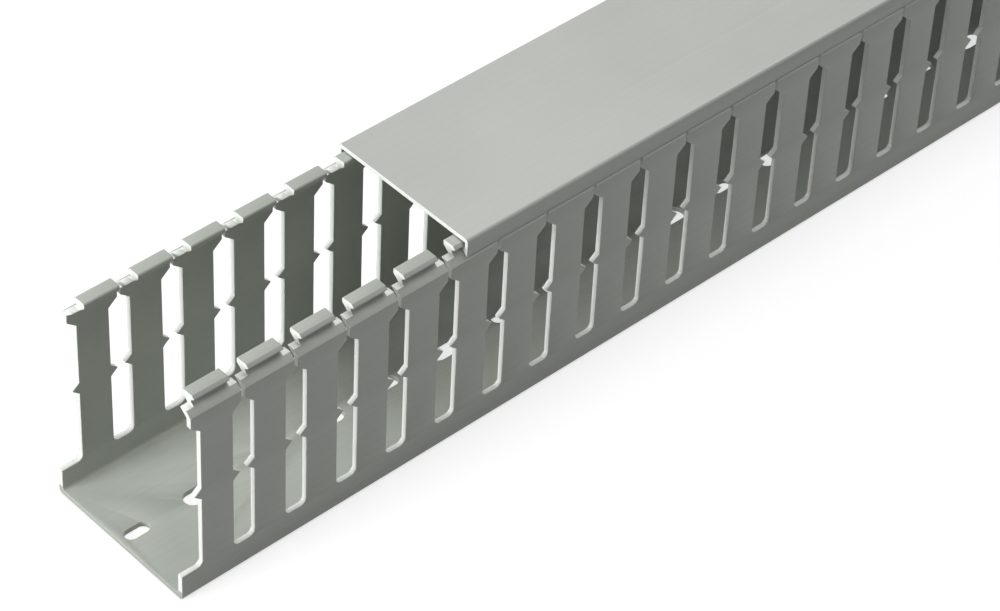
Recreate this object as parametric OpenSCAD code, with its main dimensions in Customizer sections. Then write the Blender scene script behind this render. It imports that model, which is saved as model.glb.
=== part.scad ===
// Slotted wiring duct: a punched channel of extruded PVC and its snap-fit cover.
// X runs along the duct, Y across it and Z up. The origin is the middle of the
// channel's underside. Both pieces are constant sections along X. The channel is
// punched straight through both walls, and its floor is slotted for screws.

/* [Duct] */
// Length of the channel and of the cover
duct_length = 1000; // [200:50:1000]
// Width over the walls
duct_width = 60; // [50:1:120]
// Height over the closed cover
duct_height = 80; // [70:1:120]
// Thickness of the walls and the floor
wall = 2; // [1.6:0.1:2.4]
// Radius of the outer bottom edges
foot_radius = 1.5; // [0.5:0.1:2]
// Radius between the floor and the inside of a wall
inner_radius = 1.2; // [0.4:0.1:2]

/* [Fingers] */
// Distance from one finger to the next
pitch = 20; // [18:0.5:30]
// Width of the slot between two fingers
slot_width = 8; // [7:0.5:10]
// Height of the solid strip below the slots
strip_height = 10; // [8:0.5:16]
// Radius in the bottom corners of a slot
slot_radius = 2.2; // [1:0.1:3.2]
// Gap left between the flared tips of two fingers
tip_gap = 1.2; // [0.8:0.1:2]
// Slope of the undersides of the flares, in degrees
flare_angle = 40; // [35:1:60]
// Height of the blunt end of a flare, below the shoulder
tip_land = 4; // [1:0.1:5]
// How far a finger's head reaches past its shaft on each side
head_overhang = 0.6; // [0:0.1:1.5]

/* [Retaining nibs] */
// Height of the nibs' points above the bottom of the slot
nib_height = 30; // [15:1:35]
// Height of a nib where it leaves its finger
nib_base = 4.5; // [3:0.5:9]
// Gap left between two facing nibs
nib_gap = 2.8; // [0.6:0.1:3.5]

/* [Finger heads] */
// Height of the head's top over the outer edge of the shoulder
shoulder_drop = 5.7; // [5.6:0.1:7]
// Rise of the sloping shoulder under the groove
shoulder_rise = 2.8; // [2.2:0.1:3]
// Depth of the groove from the outer face
groove_depth = 3.2; // [3:0.1:4]
// Height of the straight bottom of the groove
groove_land = 0.9; // [0.6:0.1:1]
// Reach of the barb over the groove
barb_reach = 1.3; // [1.1:0.1:1.4]
// Width of the whole head, barb included
head_width = 5.3; // [4.6:0.1:6]
// Chamfer on the outer top edge, which the cover's lip rides over
lead_in = 1; // [0.3:0.1:1]

/* [Cover] */
// Thickness of the cover's top
cover_wall = 1.6; // [1.4:0.1:1.8]
// Thickness of the cover's skirts
skirt_wall = 1.2; // [1:0.1:1.2]
// How far a skirt's face lies in from the wall's face
cover_inset = 0.4; // [0:0.1:0.4]
// Radius of the cover's outer edges
cover_radius = 1.2; // [0.6:0.1:1.2]
// Clearance between the cover and the fingers
fit_clearance = 0.3; // [0.2:0.05:0.3]
// How far the cover stands back from the near end
cover_setback = 111; // [0:1:120]

/* [Floor slots] */
// Distance from one floor slot to the next
floor_pitch = 25; // [20:1:40]
// Distance of the first slot's middle from the near end
floor_start = 6.5; // [6:0.5:10]
// Length of the small slots
small_slot_length = 9; // [7:0.5:11]
// Width of the small slots
small_slot_width = 4.5; // [3.5:0.1:5.5]
// Length of the large slots
large_slot_length = 13; // [10:0.5:15]
// Width of the large slots
large_slot_width = 6.5; // [5.5:0.1:8]

/* [Hidden] */
$fn = 48;
overrun = 1;                  // how far a punch runs past what it cuts
near_end = -duct_length / 2;
far_end = duct_length / 2;

// Levels and depths of the finger heads. Depths are taken in from the outer face.
head_top = duct_height - cover_wall - fit_clearance;
shoulder = head_top - shoulder_drop;
groove_floor = shoulder + shoulder_rise;
barb_root = groove_floor + groove_land;
barb_inset = groove_depth - barb_reach;
barb_land = 0.3;              // blunt edge of the barb
barb_tip = head_top - lead_in - barb_land;
head_depth = barb_inset + head_width;
head_chamfer = 0.4;           // inner top edge of the head
shoulder_angle = atan2(shoulder_rise, groove_depth);
neck_start = shoulder - wall * tan(shoulder_angle / 2);
neck_end = neck_start + (head_depth - wall) * tan(shoulder_angle);

// The cover's lip, kept clear of the shoulder, the groove and the barb
skirt_inside = cover_inset + skirt_wall;
lip_reach = groove_depth - fit_clearance;
lip_underside = shoulder + fit_clearance / cos(shoulder_angle);
skirt_end = lip_underside + cover_inset * tan(shoulder_angle);
lip_start = lip_underside + lip_reach * tan(shoulder_angle);
barb_slope = (barb_tip - barb_root) / barb_reach;
lip_end = barb_root + fit_clearance * (barb_slope - sqrt(1 + barb_slope * barb_slope));
lip_top = lip_end + (lip_reach - skirt_inside) * barb_slope;

// Outline of one punched gap
slot_half = slot_width / 2;
head_half_gap = slot_half - head_overhang;
flare_end = shoulder - tip_land;
flare_start = flare_end - (slot_half - tip_gap / 2) * tan(flare_angle);
flare_top = groove_floor - 1; // top of the cross bar that two flares make
nib_level = strip_height + nib_height;
gap_count = ceil(duct_length / pitch);
floor_slot_count = floor((duct_length - floor_start - large_slot_length) / floor_pitch) + 1;

module both_sides() {
    children();
    mirror([1, 0]) children();
}

// Closes a half outline, given as depth in from the outer face and height, with
// its mirror image across the duct
function across(half_outline) = concat(
    [for (point = half_outline) [point[0] - duct_width / 2, point[1]]],
    [for (index = [len(half_outline) - 1 : -1 : 0])
        [duct_width / 2 - half_outline[index][0], half_outline[index][1]]]
);

// Runs a section drawn in Y and Z along the duct
module run_along(start, length) {
    translate([start, 0, 0]) rotate([90, 0, 90]) linear_extrude(length) children();
}

// What rounding takes off the two corners of an outline, at one level and one
// depth in from the outer faces
module corner_cuts(depth, level, direction, radius) {
    both_sides()
        translate([depth - duct_width / 2, level])
            difference() {
                translate([-overrun, direction > 0 ? -overrun : -radius]) square(radius + overrun);
                translate([radius, direction * radius]) circle(radius);
            }
}

// What the die's core leaves free between the walls and under the heads
module trough_outline() {
    difference() {
        polygon(across([
            [head_depth - head_chamfer, head_top + overrun],
            [head_depth - head_chamfer, head_top],
            [head_depth, head_top - head_chamfer],
            [head_depth, neck_end],
            [wall, neck_start],
            [wall, wall],
        ]));
        corner_cuts(wall, wall, 1, inner_radius);
    }
}

// Wall, sloping shoulder, groove and barbed head, all in one thickness
module channel_section() {
    difference() {
        polygon(across([
            [0, 0],
            [0, shoulder],
            [groove_depth, groove_floor],
            [groove_depth, barb_root],
            [barb_inset, barb_tip],
            [barb_inset, head_top - lead_in],
            [barb_inset + lead_in, head_top],
        ]));
        trough_outline();
        corner_cuts(0, 0, 1, foot_radius);
    }
}

// One gap between two fingers: rounded slot, two nibs, two flares and the
// narrower opening between the heads
module gap_outline() {
    round_centre = strip_height + slot_radius;
    translate([-slot_half + slot_radius, strip_height]) square([slot_width - 2 * slot_radius, slot_radius]);
    both_sides() {
        translate([slot_half - slot_radius, round_centre]) circle(slot_radius);
        polygon([
            [0, round_centre],
            [slot_half, round_centre],
            [slot_half, nib_level - nib_base / 2],
            [nib_gap / 2, nib_level],
            [slot_half, nib_level + nib_base / 2],
            [slot_half, flare_start],
            [tip_gap / 2, flare_end],
            [tip_gap / 2, flare_top],
            [head_half_gap, flare_top],
            [head_half_gap, head_top + overrun],
            [0, head_top + overrun],
        ]);
    }
}

// A gap that the end of the duct cuts through has a finger on one side only
module end_outline() {
    translate([0, strip_height]) square([slot_width, duct_height]);
}

module punched_gap(index) {
    left = near_end + index * pitch;
    translate([left + slot_half, duct_width / 2 + overrun, 0])
        rotate([90, 0, 0])
            linear_extrude(duct_width + 2 * overrun) {
                gap_outline();
                if (index == 0) mirror([1, 0]) end_outline();
                if (left + slot_width > far_end) end_outline();
            }
}

module floor_slot(length, width) {
    straight = length - width;
    translate([0, 0, -overrun])
        linear_extrude(wall + 2 * overrun) {
            square([straight, width], center = true);
            for (side = [-1, 1]) translate([side * straight / 2, 0]) circle(d = width);
        }
}

module floor_slots() {
    for (index = [0 : floor_slot_count - 1])
        translate([near_end + floor_start + index * floor_pitch, 0, 0])
            if (index % 2 == 0) floor_slot(small_slot_length, small_slot_width);
            else floor_slot(large_slot_length, large_slot_width);
}

module slotted_channel() {
    color("#8A8E88")
        difference() {
            run_along(near_end, duct_length) channel_section();
            for (index = [0 : gap_count - 1]) punched_gap(index);
            floor_slots();
        }
}

// Flat top with two skirts, whose lips are wedges that fill the heads' grooves
module cover_section() {
    difference() {
        polygon(across([
            [cover_inset, duct_height],
            [cover_inset, skirt_end],
            [lip_reach, lip_start],
            [lip_reach, lip_end],
            [skirt_inside, lip_top],
            [skirt_inside, duct_height - cover_wall],
        ]));
        corner_cuts(cover_inset, duct_height, -1, cover_radius);
    }
}

module snap_cover() {
    color("#BEC0BC")
        run_along(near_end + cover_setback, duct_length) cover_section();
}

slotted_channel();
snap_cover();
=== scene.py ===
from math import radians
import bmesh
import bpy
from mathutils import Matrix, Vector


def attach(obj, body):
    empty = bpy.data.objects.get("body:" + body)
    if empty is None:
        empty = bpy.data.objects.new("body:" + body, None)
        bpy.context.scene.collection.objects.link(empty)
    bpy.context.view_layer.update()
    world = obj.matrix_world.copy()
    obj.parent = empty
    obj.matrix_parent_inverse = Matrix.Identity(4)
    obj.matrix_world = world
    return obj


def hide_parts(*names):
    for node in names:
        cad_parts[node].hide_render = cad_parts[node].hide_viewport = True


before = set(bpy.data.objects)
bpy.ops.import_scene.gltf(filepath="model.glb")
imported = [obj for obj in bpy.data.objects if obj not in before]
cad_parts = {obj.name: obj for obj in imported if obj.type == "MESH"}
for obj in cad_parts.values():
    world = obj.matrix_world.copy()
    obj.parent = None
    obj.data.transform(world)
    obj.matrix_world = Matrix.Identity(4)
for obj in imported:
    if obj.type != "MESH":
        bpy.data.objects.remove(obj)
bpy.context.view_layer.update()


# ---------------------------------------------------------------- Camera
# A long lens looks down on the open end of the duct from the front left, from
# about 1.1 m away, so that the fingers keep nearly the same size along it.
camera_data = bpy.data.cameras.new("camera")
camera_data.sensor_width = 36
camera_data.lens = 132.06
camera_data.shift_x = -0.0097
camera_data.shift_y = -0.0280
camera_data.clip_start = 0.01
camera_data.clip_end = 50
camera = bpy.data.objects.new("camera", camera_data)
camera.location = (-0.9574, -0.6228, 0.8059)
camera.rotation_euler = (radians(47.951), radians(-2.403), radians(-42.527))
bpy.context.scene.collection.objects.link(camera)
bpy.context.scene.camera = camera


# ---------------------------------------------------------------- Studio
# A plain pale floor under three softboxes: one overhead, one off the open end
# and one behind. The walls that face the camera are left in their own shade.
# Floor and sky look white, and light the object with a plain grey.
def linear(code):
    """The linear colour of an sRGB hex code."""
    parts = [int(code[i : i + 2], 16) / 255 for i in (1, 3, 5)]
    return [p / 12.92 if p < 0.04045 else ((p + 0.055) / 1.055) ** 2.4 for p in parts] + [1]


def add(tree, kind, inputs={}, **settings):
    """Adds a node. The value of an input is a socket to link, or a constant."""
    new = tree.nodes.new(kind)
    for key, value in settings.items():
        setattr(new, key, value)
    for key, value in inputs.items():
        if isinstance(value, bpy.types.NodeSocket):
            tree.links.new(value, new.inputs[key])
        else:
            new.inputs[key].default_value = value
    return new


def blank_material(name):
    """A new material with an empty node tree."""
    material = bpy.data.materials.new(name)
    material.use_nodes = True
    material.node_tree.nodes.clear()
    return material, material.node_tree


def seen_directly(tree):
    """1 for rays of the camera and of reflections, and 0 for rays that light the object."""
    path = add(tree, "ShaderNodeLightPath")
    seen = path.outputs["Is Camera Ray"]
    for name in ("Is Glossy Ray", "Is Transmission Ray"):
        either = add(tree, "ShaderNodeMath", {0: seen, 1: path.outputs[name]}, operation="MAXIMUM")
        seen = either.outputs[0]
    return seen


SKY_LIGHT = 0.17  # strength of the sky where it only lights the object
PAPER_GLOW = 0.70  # what is added to the floor where it is seen, so that it looks white

world = bpy.data.worlds.new("studio_sky")
bpy.context.scene.world = world
world.use_nodes = True
sky = world.node_tree
sky.nodes.clear()
strength = add(sky, "ShaderNodeMapRange", {
    "Value": seen_directly(sky),
    "To Min": SKY_LIGHT,
    "To Max": 1.0,
})
shade = add(sky, "ShaderNodeBackground", {"Color": (1, 1, 1, 1), "Strength": strength.outputs[0]})
add(sky, "ShaderNodeOutputWorld", {"Surface": shade.outputs[0]})

paper, tree = blank_material("matt_studio_paper")
lit = add(tree, "ShaderNodeBsdfDiffuse", {"Color": linear("#ABABAB")})
strength = add(tree, "ShaderNodeMapRange", {
    "Value": seen_directly(tree),
    "To Min": 0.0,
    "To Max": PAPER_GLOW,
})
glow = add(tree, "ShaderNodeEmission", {"Color": (1, 1, 1, 1), "Strength": strength.outputs[0]})
both = add(tree, "ShaderNodeAddShader", {0: lit.outputs[0], 1: glow.outputs[0]})
add(tree, "ShaderNodeOutputMaterial", {"Surface": both.outputs[0]})

FLOOR_HALF = 12  # metres
mesh = bpy.data.meshes.new("studio_floor")
corners = [(-1, -1), (1, -1), (1, 1), (-1, 1)]
mesh.from_pydata([(x * FLOOR_HALF, y * FLOOR_HALF, 0) for x, y in corners], [], [(0, 1, 2, 3)])
mesh.materials.append(paper)
floor = bpy.data.objects.new("studio_floor", mesh)
bpy.context.scene.collection.objects.link(floor)

SOFTBOXES = {
    # name: (place, size in metres, power in watts)
    "overhead": ((0.25, -0.10, 2.2), 1.2, 26),
    "off_the_end": ((-2.5, 0.45, 0.75), 1.0, 46),
    "behind": ((-0.7, 2.4, 1.0), 1.2, 16),
}
for name, (place, size, power) in SOFTBOXES.items():
    lamp_data = bpy.data.lights.new(name, "AREA")
    lamp_data.size = size
    lamp_data.energy = power
    lamp = bpy.data.objects.new(name, lamp_data)
    lamp.location = place
    aim = Vector((-0.2, 0, 0.04)) - lamp.location
    lamp.rotation_euler = aim.to_track_quat("-Z", "Y").to_euler()
    bpy.context.scene.collection.objects.link(lamp)


# ---------------------------------------------------------------- Slotted channel
# A channel of rigid PVC, extruded with its floor, both walls and the barbed heads
# in one section. A press then punches the gaps straight through both walls and
# slots the floor. Its edges are as the die and the punch leave them, hardly broken.
def broken_edges(node, name, radius):
    """A copy of a CAD node whose sharp edges are rounded by a small radius."""
    solid = bmesh.new()
    solid.from_mesh(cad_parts[node].data)
    bmesh.ops.remove_doubles(solid, verts=solid.verts, dist=1e-6)
    bmesh.ops.dissolve_limit(solid, angle_limit=radians(0.5), verts=solid.verts, edges=solid.edges)
    for face in solid.faces:
        face.smooth = True
    mesh = bpy.data.meshes.new(name)
    solid.to_mesh(mesh)
    solid.free()
    piece = bpy.data.objects.new(name, mesh)
    bpy.context.scene.collection.objects.link(piece)
    edge = piece.modifiers.new("broken_edges", "BEVEL")
    edge.width = radius
    edge.segments = 2
    edge.limit_method = "ANGLE"
    edge.angle_limit = radians(25)
    edge.use_clamp_overlap = False
    edge.harden_normals = True
    return piece


def extruded_pvc(name, grey, whitened):
    """Grey rigid PVC out of a die; whitened(tree, place, normal) is where it was cut."""
    material, tree = blank_material(name)
    coordinates = add(tree, "ShaderNodeTexCoord")
    place = coordinates.outputs["Object"]

    # Die lines run the whole length and stand 0.8 mm apart across it.
    stretched = add(tree, "ShaderNodeMapping", {"Vector": place, "Scale": (3, 1250, 1250)})
    lines = add(tree, "ShaderNodeTexNoise", {
        "Vector": stretched.outputs[0],
        "Scale": 1.0,
        "Detail": 3.0,
    })
    # Cloudy patches of pigment and gloss, 60 mm across.
    clouds = add(tree, "ShaderNodeTexNoise", {"Vector": place, "Scale": 16.0, "Detail": 3.0})
    # The fine grain of the compound, 0.4 mm.
    grain = add(tree, "ShaderNodeTexNoise", {"Vector": place, "Scale": 2500.0, "Detail": 2.0})

    patch = add(tree, "ShaderNodeMapRange", {
        "Value": clouds.outputs["Fac"],
        "From Min": 0.3,
        "From Max": 0.7,
        "To Min": 0.955,
        "To Max": 1.04,
    })
    streak = add(tree, "ShaderNodeMapRange", {
        "Value": lines.outputs["Fac"],
        "From Min": 0.25,
        "From Max": 0.75,
        "To Min": 0.965,
        "To Max": 1.03,
    })
    tone = add(
        tree, "ShaderNodeMath", {0: patch.outputs[0], 1: streak.outputs[0]}, operation="MULTIPLY"
    )
    body = add(
        tree,
        "ShaderNodeVectorMath",
        {0: linear(grey)[:3], "Scale": tone.outputs[0]},
        operation="SCALE",
    )

    # Where a blade or punch sheared it, the compound turns white.
    white = whitened(tree, place, coordinates.outputs["Normal"])
    colour = add(
        tree,
        "ShaderNodeMix",
        {"Factor": white, 6: body.outputs[0], 7: linear("#ECEFEA")},
        data_type="RGBA",
    )

    # Painted highlight: the outermost 0.4 mm of every edge is lightened towards pale grey, where
    # light would catch it.
    rounded = add(tree, "ShaderNodeBevel", {"Radius": 0.0004}, samples=6)
    flat = add(tree, "ShaderNodeNewGeometry")
    turn = add(
        tree,
        "ShaderNodeVectorMath",
        {0: rounded.outputs[0], 1: flat.outputs["Normal"]},
        operation="DOT_PRODUCT",
    )
    painted_edge_highlight = add(tree, "ShaderNodeMapRange", {
        "Value": turn.outputs["Value"],
        "From Min": 0.99,
        "From Max": 0.80,
        "To Min": 0.0,
        "To Max": 0.45,
    })
    colour = add(
        tree,
        "ShaderNodeMix",
        {"Factor": painted_edge_highlight.outputs[0], 6: colour.outputs[2], 7: linear("#DCE0DA")},
        data_type="RGBA",
    )

    # Satin, with the patches a little glossier or duller, and the cut faces duller still.
    sheen = add(tree, "ShaderNodeMapRange", {
        "Value": clouds.outputs["Fac"],
        "From Min": 0.3,
        "From Max": 0.7,
        "To Min": 0.38,
        "To Max": 0.50,
    })
    rough = add(
        tree, "ShaderNodeMath", {0: white, 1: 0.2, 2: sheen.outputs[0]}, operation="MULTIPLY_ADD"
    )

    # The die lines stand 0.03 mm and the grain 0.02 mm deep at most.
    drawn = add(tree, "ShaderNodeBump", {
        "Height": lines.outputs["Fac"],
        "Strength": 0.35,
        "Distance": 0.00003,
    })
    pebbled = add(tree, "ShaderNodeBump", {
        "Height": grain.outputs["Fac"],
        "Strength": 0.3,
        "Distance": 0.00002,
        "Normal": drawn.outputs[0],
    })
    shader = add(tree, "ShaderNodeBsdfPrincipled", {
        "Base Color": colour.outputs[2],
        "Roughness": rough.outputs[0],
        "IOR": 1.53,
        "Normal": pebbled.outputs[0],
    })
    add(tree, "ShaderNodeOutputMaterial", {"Surface": shader.outputs[0]})
    return material


PUNCHED_FROM = (0.0030, 0.0036)  # metres above the underside: past the floor's own end
PUNCHED_TO = (0.0781, 0.0779)  # the head tops, which no punch cuts


def punched_faces(tree, place, normal):
    """Every face that lies along the punch's stroke, above the floor and below the head tops."""
    height = add(tree, "ShaderNodeSeparateXYZ", {0: place}).outputs["Z"]
    facing = add(tree, "ShaderNodeSeparateXYZ", {0: normal}).outputs["Y"]
    across = add(tree, "ShaderNodeMath", {0: facing}, operation="ABSOLUTE").outputs[0]
    along = add(tree, "ShaderNodeMapRange", {"Value": across, "From Min": 0.35, "From Max": 0.15})
    cut = along.outputs[0]
    for none, full in (PUNCHED_FROM, PUNCHED_TO):
        level = add(tree, "ShaderNodeMapRange", {
            "Value": height,
            "From Min": none,
            "From Max": full,
        })
        both = add(tree, "ShaderNodeMath", {0: cut, 1: level.outputs[0]}, operation="MULTIPLY")
        cut = both.outputs[0]
    return cut


channel = broken_edges("slotted_channel", "punched_channel", 0.00014)
# The channel's grey carries painted shade: it is a little darker and greener than the cover's, the
# tint its shaded walls take, though both are one PVC.
channel.data.materials.append(extruded_pvc("extruded_grey_pvc_painted_shade_tint", "#A9AEA6", punched_faces))
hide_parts("slotted_channel")
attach(channel, "channel")


# ---------------------------------------------------------------- Cover
# A flat lid of the same PVC, extruded with two skirts whose inward lips snap into
# the grooves under the fingers' heads. It is sawn to length, and it slides.
def sawn_ends(tree, place, normal):
    """The faces at the two ends of a length."""
    facing = add(tree, "ShaderNodeSeparateXYZ", {0: normal}).outputs["X"]
    along = add(tree, "ShaderNodeMath", {0: facing}, operation="ABSOLUTE").outputs[0]
    sawn = add(tree, "ShaderNodeMapRange", {"Value": along, "From Min": 0.6, "From Max": 0.9})
    return sawn.outputs[0]


cover = broken_edges("snap_cover", "lipped_cover", 0.00009)
cover.data.materials.append(extruded_pvc("extruded_pale_grey_pvc", "#AFB2AC", sawn_ends))
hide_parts("snap_cover")
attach(cover, "cover")


# ---------------------------------------------------------------- Finish
bpy.context.scene.view_settings.view_transform = "Standard"
